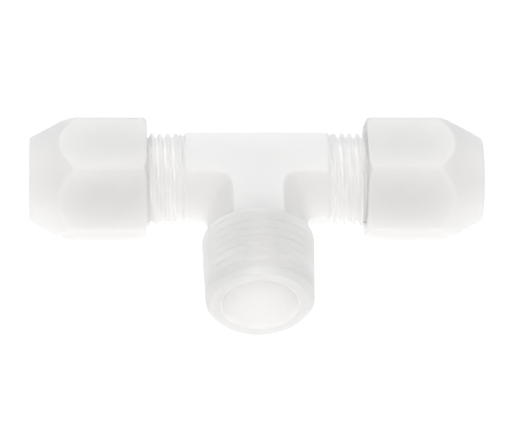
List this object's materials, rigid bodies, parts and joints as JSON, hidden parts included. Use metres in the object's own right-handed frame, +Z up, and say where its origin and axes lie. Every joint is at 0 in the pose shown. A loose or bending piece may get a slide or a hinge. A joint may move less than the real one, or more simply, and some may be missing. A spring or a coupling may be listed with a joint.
{
  "type": "compression tee fitting",
  "caption": "Translucent white plastic tee: union nuts clamp a tube at both ends of the run, and the branch is a taper-threaded male nipple.",
  "frame": {"origin": "middle of the fitting's outline, on the surface that the two union nuts rest on; the run axis is 11 mm above it and 8.97 mm behind it", "axes": "+X along the run towards the right tube port, -Y along the branch towards its mouth, +Z up"},
  "size_m": [0.0864, 0.0428, 0.022],
  "materials": {
    "body_plastic": "natural translucent white moulded plastic, satin",
    "nut_plastic": "natural translucent white moulded plastic, satin, slightly milky",
    "ferrule_plastic": "natural white plastic, smooth",
    "ring_plastic": "opaque white plastic, smooth"
  },
  "bodies": {
    "tee": {"tee_body": "body_plastic"},
    "clamp_right": {"ferrule_right": "ferrule_plastic", "grip_ring_right": "ring_plastic"},
    "clamp_left": {"ferrule_left": "ferrule_plastic", "grip_ring_left": "ring_plastic"},
    "nut_right": {"union_nut_right": "nut_plastic"},
    "nut_left": {"union_nut_left": "nut_plastic"}
  },
  "joints": [
    {"name": "clamp_slide_right", "type": "slide", "parent": "tee", "child": "clamp_right", "axis": [1, 0, 0], "range_m": [-0.00226, 0.00901]},
    {"name": "nut_turn_right", "type": "hinge", "parent": "clamp_right", "child": "nut_right", "pos_m": [0.032, 0.00897, 0.011], "axis": [1, 0, 0], "range_deg": [-540, 2160]},
    {"name": "clamp_slide_left", "type": "slide", "parent": "tee", "child": "clamp_left", "axis": [-1, 0, 0], "range_m": [-0.00226, 0.00901]},
    {"name": "nut_turn_left", "type": "hinge", "parent": "clamp_left", "child": "nut_left", "pos_m": [-0.032, 0.00897, 0.011], "axis": [-1, 0, 0], "range_deg": [-540, 2160]}
  ],
  "couplings": [
    {"joint": "clamp_slide_right", "follows": "nut_turn_right", "m_per_rad": 0.00023873},
    {"joint": "clamp_slide_left", "follows": "nut_turn_left", "m_per_rad": 0.00023873}
  ]
}
